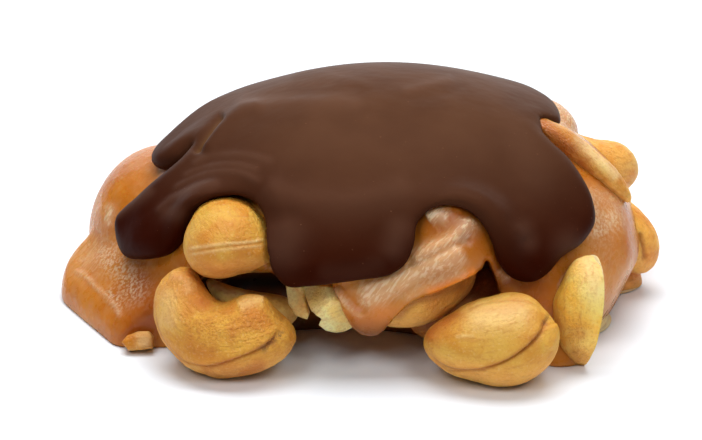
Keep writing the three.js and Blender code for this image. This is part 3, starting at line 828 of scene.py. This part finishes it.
cap = {
    "crown": (2, 3, 6),  # inside the mound, where the slopes are measured from
    "stretch": (46.5, 39.5, 32),  # the mound's plan and height, which the slopes follow
    "degreeRun": 0.7,  # mm of run for one degree of slope
    "thickness": 3.2,
    "rimExtra": 0.8,
    "rimWidth": 7,
    "roll": 4.6,  # how far in from the edge it starts to round over
    "lift": 0.36,  # share of the thickness at which the edge stands out furthest
    "bury": 1.4,
    "over": "under_cap",  # the nut that the chocolate has run over
    "overSoft": 2,
    "drape": 2.5,  # degrees over which it bridges what lies under it
    "drapeKeeps": (0.15, 0.6),  # mm it may sink into that, and rounding there
    "farOut": 56,  # mm from the crown, outside everything
    "maps": {"inward": (92, 0.4), "reach": (96, 1.2)},  # degrees that a map takes in, and its mesh
    "edgeSteps": 400,
    # it stops round these nuts: mm between them, and rounding there
    "cutFor": (["half_shoulder", "back_high"], 0.3, 1.5),
    "room": ((-50, -40, 2), (52, 44, 41)),
    "step": 0.5,
    "paintedShadeHeights": (17, 38),  # painted shade: the coat is painted darker low down, below its lit top
    # edge line as bearing round the crown and slope down from it, in degrees, 270 is the front
    "edge": [
        # back right, behind the shoulder
        (354.6, 41.2), (12.8, 42.2), (22.4, 42.6), (32, 44), (44, 45), (60, 45),
        # lobe at the back
        (76, 51), (87, 62), (98, 69), (110, 67), (122, 56), (134, 45), (150, 44.5),
        # finger at the back left
        (161, 47.5), (168, 51.2), (174.5, 54.4), (181, 56), (186.5, 55.2), (190.3, 52.2), (192.6, 49),
        (193, 46.2), (194, 44.4),
        # finger at the front left, over the block
        (196.4, 47.5), (196.2, 52), (194.9, 56.8), (193.6, 62), (192.4, 66), (192, 70.5), (193.6, 74.8),
        (197, 78.3), (201.8, 79.6), (206.4, 78.3), (211.8, 75.7), (215.8, 72.6), (218.6, 66.5),
        # round the cashew under the cap
        (220.3, 59.5), (223, 55.2), (228.5, 50.4), (236, 50.5), (241.4, 54.6), (244, 59.4), (245.9, 64.8),
        # lobe at the front
        (247.2, 69.6), (250.8, 73.1), (255.5, 72.3), (261, 71), (267.7, 69.4), (272.5, 68.4), (276.4, 65.4),
        # round the bulge of caramel
        (278.6, 60), (279.9, 54.3), (284, 50.7), (288.6, 51), (292.6, 54.3), (294.6, 59.5),
        # lobe at the front right
        (296.2, 66.3), (299.5, 71.8), (303.3, 74.2), (307, 73), (311.8, 69.4), (319, 67.8), (325.5, 64.5),
        (329.9, 58.7), (333, 52.6), (335.8, 46.6), (337.6, 41.4), (341.8, 38.6),
    ],
    # fuller places of the coat: bearing, slope, degrees across, mm
    "swells": [(262, 60, 11, 0.9), (306, 60, 10, 1), (205, 66, 9, 0.6), (193, 71, 6, 1), (160, 42, 8, 0.3)],
    "strokes": [
        # crease between the two fingers at the left, with the fold that runs on from it and a painted
        # highlight along that fold
        stroke(
            0.8, (-27.4, 23.4), (-26.2, 25.4), (-25, 27.2), (-23.8, 28.9), (-22.6, 30.2), rise=-1,
            spread=0.5, thin=0.8,
        ),
        stroke(
            1.3, (-25.9, 23.4), (-24.2, 25.8), (-22.7, 28), (-21.2, 29.7), (-19, 30.9), (-15.5, 31.2),
            rise=0.6,
        ),
        stroke(1.1, (-21.5, 31.2), (-17, 31.7), (-11.7, 31.9), (-5.2, 32), (1.3, 31), rise=0.18, shine=0.4),
        stroke(1.6, (-20, 33.2), (-13, 33.6), (-5, 34.2), rise=-0.2),
        # soft fold above the front lobe, with a painted highlight on it
        stroke(2, (-16, 18.8), (-11.9, 16.4), (-4, 15.2), (3, 16.2), (8.6, 18.2), rise=0.35, shine=0.25),
        # flow lines above the cashew, as the coat slid down, with painted highlights along them
        stroke(
            0.5, (-31, 17.3), (-27.7, 19.1), (-23.7, 20.3), (-19.4, 20.2), (-15.6, 18.2), rise=0.2,
            shine=0.35,
        ),
        stroke(0.55, (-29.5, 19.4), (-25.2, 21.1), (-20.3, 21.5), (-15.9, 20.4), rise=0.18, shine=0.35),
        stroke(0.6, (-28, 21.4), (-24, 22.9), (-18.5, 23), (-13.5, 21.6), rise=0.15, shine=0.3),
        stroke(0.6, (-33.5, 13.5), (-30.2, 16.2), (-26, 18.1), (-22, 18.6), rise=0.18, shine=0.4),
        # swirls near the top, the first with a painted highlight on it
        stroke(0.8, (6.1, 33.4), (11.1, 34.8), (15.4, 36.1), rise=0.16, shine=0.35),
        stroke(0.9, (6.9, 32.1), (12.6, 33), (17.8, 34.9), rise=-0.12),
        stroke(1, (-12.1, 36.6), (-9, 37.4), (-4, 36), (2, 34.6), rise=0.14),
        # painted highlights where the coat shines: the front lobe, the fingers and the right side
        patch(2.6, (-12.8, 8.2), (-12, 10.6), shine=0.5),
        patch(1.6, (4.8, 8.4), (5.6, 11.5), shine=0.4),
        patch(1.2, (-5.5, 4.6), (-1, 4.8), (2.4, 6), shine=0.2),
        patch(2, (32.6, 8.3), (34.6, 7.2), shine=0.6),
        patch(1.2, (25.2, 11.4), (26, 9.2), shine=0.4),
        patch(0.7, (-39.8, 13.8), (-37.6, 15.4), (-34.6, 17.4), shine=0.5),
        patch(1.1, (-31.4, 14.2), (-29.2, 13.6), shine=0.4),
        patch(2.4, (25, 27.4), (26.4, 23), (27.6, 19.4), shine=0.2),
        # dents and a bump on the front lobes
        patch(1.4, (-13.4, 12.6), (-11.4, 13.4), rise=-0.25),
        patch(0.7, (24.3, 11.2), (25, 10.4), rise=0.25),
        patch(1.4, (22.8, 12.8), (25.4, 9.6), rise=-0.2),
    ],
}


def closedLine(stations, steps):
    n = len(stations)
    u = np.arange(steps) / steps * n
    i = np.floor(u).astype(int)
    return smoothRun(*(stations[(i + k) % n] for k in (-1, 0, 1, 2)), (u - i)[:, None])


def slopePlane(bearing, slope):
    return np.stack([slope * np.cos(np.radians(bearing)), slope * np.sin(np.radians(bearing))], -1)


def capSlopes(points):
    away = (points - cap["crown"]) / cap["stretch"]
    slope = np.degrees(np.arctan2(np.hypot(away[:, 0], away[:, 1]), away[:, 2]))
    bearing = np.degrees(np.arctan2(away[:, 1], away[:, 0]))
    return slopePlane(bearing, slope)


class SlopeMap:
    # values on a square map of slopes, read in between
    def __init__(self, reach, step):
        self.reach = reach
        self.step = step
        axis = np.arange(-reach, reach + step / 2, step)
        self.size = len(axis)
        x, y = np.meshgrid(axis, axis, indexing="ij")
        self.spots = np.stack([x.ravel(), y.ravel()], -1)

    def fill(self, values):
        self.table = values.reshape(self.size, self.size)
        return self

    def soften(self, degrees):
        steps = int(3 * degrees / self.step)
        weights = np.exp(-((np.arange(-steps, steps + 1) * self.step / degrees) ** 2) / 2)
        weights /= weights.sum()
        for axis in (0, 1):
            wide = np.pad(self.table, steps, mode="edge")
            soft = np.apply_along_axis(np.convolve, axis, wide, weights, "same")
            self.table = soft[steps:-steps, steps:-steps]

    def read(self, q):
        spot = np.clip((q + self.reach) / self.step, 0, self.size - 1.001)
        i, j = spot.astype(int).T
        f, g = (spot - spot.astype(int)).T
        t = self.table
        first, second = (t[i, k] * (1 - f) + t[i + 1, k] * f for k in (j, j + 1))
        return first * (1 - g) + second * g


def underChocolate(points):
    # what the coat lies on
    d = pouredField(points, "shoulder")
    joinNut(d, points, cashews[cap["over"]], lambda own, skin, near: softMin(own, skin, cap["overSoft"]))
    return d


def makeInwardMap():
    # how far in from the edge each slope lies, in mm, below zero outside
    line = closedLine(slopePlane(*np.array(cap["edge"], float).T), cap["edgeSteps"])
    table = SlopeMap(*cap["maps"]["inward"])
    return table.fill(-outlineAway(table.spots, line.tolist()) * cap["degreeRun"])


def makeReachMap():
    # how far from the crown the coat's underside lies in each direction, bridging the gaps below
    table = SlopeMap(*cap["maps"]["reach"])
    slope = np.radians(np.hypot(*table.spots.T))
    bearing = np.arctan2(table.spots[:, 1], table.spots[:, 0])
    way = np.stack([np.sin(slope) * np.cos(bearing), np.sin(slope) * np.sin(bearing), np.cos(slope)], -1)
    way = way * cap["stretch"]
    way /= np.linalg.norm(way, axis=1)[:, None]
    reach = np.full(len(way), float(cap["farOut"]))
    for _ in range(40):
        reach -= np.clip(underChocolate(cap["crown"] + way * reach[:, None]), 0, 4) * 0.9
    hard = table.fill(reach).table
    table.soften(cap["drape"])
    sink, soft = cap["drapeKeeps"]
    return table.fill(softMax(table.table, hard - sink, soft))


inwardMap = makeInwardMap()
reachMap = makeReachMap()


def capField(points):
    q = capSlopes(points)
    inward = inwardMap.read(q)
    thick = cap["thickness"] + cap["rimExtra"] * np.exp(-((np.maximum(inward, 0) / cap["rimWidth"]) ** 2))
    for bearing, slope, across, mm in cap["swells"]:
        middleOf = slopePlane(bearing, slope)
        thick = thick + mm * np.exp(-((q - middleOf) ** 2).sum(-1) / across**2)
    rise = np.linalg.norm(points - cap["crown"], axis=1) - reachMap.read(q) - thick * cap["lift"]
    top = thick * (1 - cap["lift"])
    below = thick * cap["lift"] + cap["bury"]
    k = np.hypot(np.maximum(1 - inward / cap["roll"], 0), np.where(rise > 0, rise / top, rise / below))
    d = (k - 1) * top
    names, gap, soft = cap["cutFor"]
    for name in names:
        joinNut(d, points, cashews[name], lambda own, skin, near: softMax(own, -skin - gap, soft))
    return d


# finishes


def caramelFinish():
    f = Finish("soft_caramel")
    place = f.placeMm()
    broad = f.noise(place, 13, 2)
    fine = f.noise(place, 2, 4)
    sheen, scuff = f.painted("sheen"), f.painted("scuff")
    # fine drag marks that run up and to the right; they bump the surface and streak the painted highlights
    drag = f.noise(f.stretched(f.painted("dragPlan", 1), (0.16, 1, 1)), 0.42, 2)
    marks = f.between(f.noise(place, 0.55, 3), 0.42, 0.62)
    skin = f.coloured(
        "#b7681a", (f.between(broad, 0.35, 0.65), "#ca7d25"), (f.between(fine, 0.5, 0.75) * 0.3, "#cd9255"),
        # deeper, redder caramel on the bulge, and painted shade where it darkens the pockets
        (f.painted("rich") * 0.75, "#96480f"), (f.painted("warm") * 0.8, "#f08a28"),
        # painted shade: near black in the hollows
        (f.painted("dark") * 0.85, "#2a1106"),
        # painted highlights: a pale sheen streaked by the drag marks, and pale scuff marks
        (sheen * (f.between(drag, 0.48, 0.6) * 0.42 + 0.4), "#f0d8b2"), (scuff * marks * 0.55, "#e2cba8"),
    )
    rough = f.between(fine, 0.3, 0.8) * 0.12 + scuff * 0.15 + 0.25
    bumps = f.bumped(
        (f.noise(place, 3.5, 2), 0.3), (f.noise(place, 0.7, 4), 0.05), (drag * (sheen * 0.6 + 0.12), 0.16),
        (marks * scuff, 0.05),
    )
    return f.surface(skin, rough, {**bumps, "IOR": 1.36}, (0.45, (1, 0.42, 0.16), 0.003))


def chocolateFinish():
    f = Finish("dark_chocolate")
    place = f.placeMm()
    specks = f.between(f.noise(place, 0.5, 1), 0.76, 0.82)
    broad = f.between(f.noise(place, 12, 2), 0.3, 0.7)
    skin = f.coloured(
        # painted shade: the base is the lit top's colour, darkened low down by the deep paint
        "#583927", (f.painted("deep"), "#300b03"), (broad * 0.25, "#2a0d04"), (specks * 0.4, "#8d5f45"),
        # painted highlights where the shine strokes lie
        (f.painted("thin") * 0.7, "#6b4a2a"), (f.painted("shine") * 0.4, "#7c5a48"),
    )
    bumps = f.bumped((f.noise(place, 5, 2), 0.18), (f.noise(place, 0.5, 3), 0.01))
    gloss = {"IOR": 1.1, "Specular Tint": (1, 0.35, 0.12, 1)}
    rough = f.noise(place, 9, 3) * 0.12 + 0.36
    return f.surface(skin, rough, {**bumps, **gloss}, (0.05, (1, 0.4, 0.2), 0.001))


def cashewFinish(name, nut):
    f = Finish(name)
    place = f.placeMm()
    plan = f.painted("nutPlan", 1)
    blotch = f.noise(place, 5.5, 3, bend=0.5)
    grain = f.noise(f.stretched(plan, (0.35, 1, 1)), 0.7, 4, 0.6)
    dots = f.noise(place, 0.42, 2)
    brown = f.painted("toast") * f.between(f.noise(place, 3.5, 4), 0.25, 0.6)
    scarred = f.painted("scar") * f.between(f.noise(place, 0.6, 3), 0.35, 0.55)
    flesh = f.coloured("#e2b672", (f.noise(place, 2.5, 3), "#f7e4b6"))
    glaze = f.painted("glaze")
    skin = f.coloured(
        # pale marks: paler flesh and cut rims, and painted highlights on ridges and tops
        nut["deep"], (f.between(blotch, 0.34, 0.66), nut["light"]), (f.painted("pale") * 0.8, "#f6dfa6"),
        # painted bounce light: brighter orange on the nut's undersides
        (f.painted("warm") * 0.6, "#ffbc62"), (f.between(grain, 0.48, 0.7) * 0.36, "#c67c30"),
        (f.between(dots, 0.54, 0.68) * (f.painted("rough") * 0.4 + 0.18), "#bb6c26"),
        (f.between(dots, 0.44, 0.3) * 0.13, "#fbe6b4"), (brown * 0.8, "#c06a26"),
        (f.painted("crease") * 0.7, "#a3521d"), (scarred, "#7d4a2c"), (f.painted("flesh"), flesh),
        (glaze * 0.8, "#b4662b"),
    )
    bumps = f.bumped((grain, 0.28 * nut["wrinkle"]), (dots * (f.painted("rough") * 0.8 + 0.5), 0.34))
    rough = 0.52 - glaze * 0.27
    return f.surface(skin, rough, {**bumps, "IOR": 1.36}, (0.35, (1, 0.6, 0.3), 0.002))


# making the pieces

nutPaints = ("crease", "toast", "pale", "scar", "rough", "flesh", "glaze", "warm")


def blank(points, keys):
    return {key: np.zeros(len(points)) for key in keys}


def vertexNormals(points, quads):
    face = np.cross(points[quads[:, 2]] - points[quads[:, 0]], points[quads[:, 3]] - points[quads[:, 1]])
    total = np.zeros_like(points)
    for k in range(4):
        np.add.at(total, quads[:, k], face)
    return total / np.maximum(np.linalg.norm(total, axis=1), 1e-9)[:, None]


def nutSkin(nut, seed):
    # rows from tip to tip, with columns packed close along the seam
    rows, columns = nut["net"]
    lean = np.linspace(0, np.pi, rows + 1)[1:-1]
    a = np.arange(columns) / columns * 2 * np.pi
    around = a - seamPacking * np.sin(2 * a)
    lean, around = (g.ravel() for g in np.meshgrid(lean, around, indexing="ij"))
    lean = np.concatenate([lean, [0, np.pi]])
    around = np.concatenate([around, [0, 0]])
    t = (1 - np.cos(lean)) / 2
    share, x, y, heading = nutSpine(nut)
    x, y, heading = (np.interp(t, share, v) for v in (x, y, heading))
    full = np.sqrt(np.clip(1 - np.abs(2 * t - 1) ** nutFullness, 0, 1))
    size = full * (1 - nut["taper"] * (1 - t))
    side = np.cos(around) * nut["width"] / 2 * size * np.where(np.cos(around) > 0, innerFlatness, 1)
    out = np.sin(around) * nut["depth"] / 2 * size
    paint = blank(t, nutPaints)
    depth = nut["seamDepth"]
    seam = np.exp(-((out / seamWidth) ** 2)) * (depth > 0)
    wide = np.exp(-((out / seamDip) ** 2))
    if nut["half"]:
        seam, depth = seam * 0, 0
        paint["flesh"] = fade(-np.sin(around), 0.0, 0.12)
        dish = dishDepth * size * np.abs(np.sin(around)) ** 1.6
        out = np.where(np.sin(around) < 0, dish, out)
    local = np.stack([x - side * np.sin(heading), y + side * np.cos(heading), out], -1)
    n = rows - 1
    i, j = (g.ravel() for g in np.meshgrid(np.arange(n - 1), np.arange(columns), indexing="ij"))
    k = (j + 1) % columns
    quads = np.stack([i * columns + j, i * columns + k, (i + 1) * columns + k, (i + 1) * columns + j], -1)
    tips = []
    for j in range(columns):
        k = (j + 1) % columns
        tips += [[n * columns, k, j], [n * columns + 1, (n - 1) * columns + j, (n - 1) * columns + k]]
    points = local @ nutTurn(nut).T + nut["at"]
    points = points + grabMoves(points, nut["grabs"])
    normal = vertexNormals(points, quads)
    if normal[0] @ (points[0] - nut["at"]) < 0:
        normal = -normal
    # lumps, dimples, wrinkles along the nut and grain
    low = lumpyNoise(points, 6.5, seed) * nut["lump"] + lumpyNoise(points, 2.6, seed + 1) * 0.09
    drawnOut = np.stack([t * nut["spine"] * 0.4, side, out], -1)
    fine = lumpyNoise(drawnOut, 0.9, seed + 2) * 0.05 * nut["wrinkle"]
    fine += lumpyNoise(points, 0.7, seed + 3) * 0.03 * nut["wrinkle"]
    points = points + normal * (low + fine - depth * (0.55 * wide + 0.45 * seam))[:, None]
    browned = np.abs(2 * t - 1) ** 3 + 0.5 * fade(side / nut["width"], 0.1, 0.5)  # tips and hollow side
    paint["toast"] = np.clip(browned, 0, 1) * nut["toast"]
    paint["crease"] = seam * 0.5
    # painted bounce light: the undersides are painted a brighter orange
    paint["warm"] = fade(-normal[:, 2], -0.1, 0.7)
    return points, quads, tips, normal, np.stack([t * nut["spine"], side, out], -1), paint


def brokenSkin(nut, seed):
    # a broken piece, rough all over and paler in places
    at = np.array(nut["at"])

    def rough(p):
        return softMax(nutField(p, nut) + 0.1 * lumpyNoise(p, 1.4, seed), 0.1 - p[:, 2], 0.2)

    points, quads = netSkin(rough, at - pieceRoom, at + pieceRoom, pieceStep)
    paint = blank(points, nutPaints)
    paint["pale"] = 0.6 * fade(lumpyNoise(points, 2.5, seed + 1), -0.4, 0.6)
    return points, quads, [], vertexNormals(points, quads), points, paint


def makeCashews():
    for seed, (name, nut) in enumerate(cashews.items()):
        make = brokenSkin if "outline" in nut else nutSkin
        points, quads, tips, normal, plan, paint = make(nut, 100 + 10 * seed)
        near = pouredField(points) + lumpyNoise(points, 2.4, 40 + seed) * 0.7
        paint["glaze"] = fade(-near, -1.0, 0.5) * nut["glazed"]
        points = sculpted(points, normal, nut["strokes"], paint)
        points[:, 2] = np.maximum(points[:, 2], lowest)
        finish, faces = cashewFinish("roasted_cashew_" + name, nut), quads.tolist() + tips
        piece = foodPiece("nut_" + name, points, faces, finish, paint, {"nutPlan": plan})
        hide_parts("cashew_" + name)
    print("cashews made:", len(cashews))


def makeCaramel():
    points, quads = netSkin(caramelField, *caramel["room"], caramel["step"])
    normal = vertexNormals(points, quads)
    paint = blank(points, ("sheen", "scuff", "rich", "warm", "dark"))
    relief = lumpyNoise(points, 7.5, 5) * 0.2 + lumpyNoise(points, 3.0, 6) * 0.06
    points = points + normal * (relief * fade(points[:, 2], 0.05, 1.5))[:, None]
    points = sculpted(points, normal, caramel["strokes"], paint)
    points[:, 2] = np.maximum(points[:, 2], 0)
    seen = points @ frontAxes
    c, s = (way(math.radians(caramel["dragAngle"])) for way in (math.cos, math.sin))
    drag = np.stack([seen[:, 0] * c + seen[:, 1] * s, seen[:, 1] * c - seen[:, 0] * s, seen[:, 2]], -1)
    finish, plans = caramelFinish(), {"dragPlan": drag}
    piece = foodPiece("caramel_body", points, quads.tolist(), finish, paint, plans)
    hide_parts("caramel")
    print("caramel made:", len(quads), "faces")


def makeCap():
    points, quads = netSkin(capField, *cap["room"], cap["step"])
    normal = vertexNormals(points, quads)
    paint = blank(points, ("thin", "shine"))
    # painted shade: the coat darker low down, below its lit top
    paint["deep"] = 1 - fade(points[:, 2], *cap["paintedShadeHeights"])
    points = sculpted(points, normal, cap["strokes"], paint)
    piece = foodPiece("chocolate_coat", points, quads.tolist(), chocolateFinish(), paint, {})
    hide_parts("chocolate_cap")
    print("chocolate made:", len(quads), "faces")


# table, light and camera

shot = {
    "target": (-1.5, -1.5, 13.7),  # mm, like the distance
    "distance": 450,
    "imageWidth": 702,
    "focalPixels": 2700,
    "sensor": 36,
}

studio = {
    "tableHalf": 3.0,
    "tableColour": "#eff4fa",
    "tableRoughness": 0.6,
    "worldColour": (0.86, 0.93, 1, 1),
    "worldStrength": 0.1,
    "lights": {
        # at, aim, size, watts
        "overhead": ((0, 0.14, 0.75), (0, 0, 0.01), (0.75, 0.45), 6.8),
        "front_left": ((-0.33, -0.5, 0.71), (0, 0, 0.01), (0.35, 0.35), 1.9),
        "front_right": ((0.35, -0.5, 0.71), (0, 0, 0.01), (0.35, 0.35), 2.0),
        "backdrop": ((0, 0.9, 0.3), (0, 0, 0.02), (1.6, 0.6), 4.0),
    },
}


def makeTable():
    half = studio["tableHalf"]
    corners = [(x * half, y * half, 0) for x, y in ((-1, -1), (1, -1), (1, 1), (-1, 1))]
    mesh = bpy.data.meshes.new("white_table")
    mesh.from_pydata(corners, [], [(0, 1, 2, 3)])
    shade = colour(studio["tableColour"])
    mesh.materials.append(Finish("white_table").surface(shade, studio["tableRoughness"], {}))
    table = bpy.data.objects.new("white_table", mesh)
    bpy.context.scene.collection.objects.link(table)


def softBox(name, at, aim, size, watts):
    light = bpy.data.lights.new(name, "AREA")
    light.shape = "RECTANGLE"
    light.size, light.size_y = size
    light.energy = watts
    box = bpy.data.objects.new(name, light)
    box.location = at
    box.rotation_euler = (Vector(aim) - Vector(at)).to_track_quat("-Z", "Y").to_euler()
    bpy.context.scene.collection.objects.link(box)


def makeLight():
    world = bpy.data.worlds.new("studio")
    world.use_nodes = True
    back = world.node_tree.nodes["Background"]
    back.inputs["Color"].default_value = studio["worldColour"]
    back.inputs["Strength"].default_value = studio["worldStrength"]
    bpy.context.scene.world = world
    for name, light in studio["lights"].items():
        softBox(name, *light)


def makeCamera():
    data = bpy.data.cameras.new("camera")
    data.sensor_width = shot["sensor"]
    data.lens = shot["sensor"] * shot["focalPixels"] / shot["imageWidth"]
    camera = bpy.data.objects.new("camera", data)
    back = Vector((0, -math.cos(lookDown), math.sin(lookDown)))
    camera.location = (Vector(shot["target"]) + back * shot["distance"]) * millimetre
    camera.rotation_euler = (-back).to_track_quat("-Z", "Y").to_euler()
    bpy.context.scene.collection.objects.link(camera)
    bpy.context.scene.camera = camera


makeCamera()
makeTable()
makeLight()
bpy.context.scene.view_settings.view_transform = "Standard"
makeCap()
makeCaramel()
makeCashews()
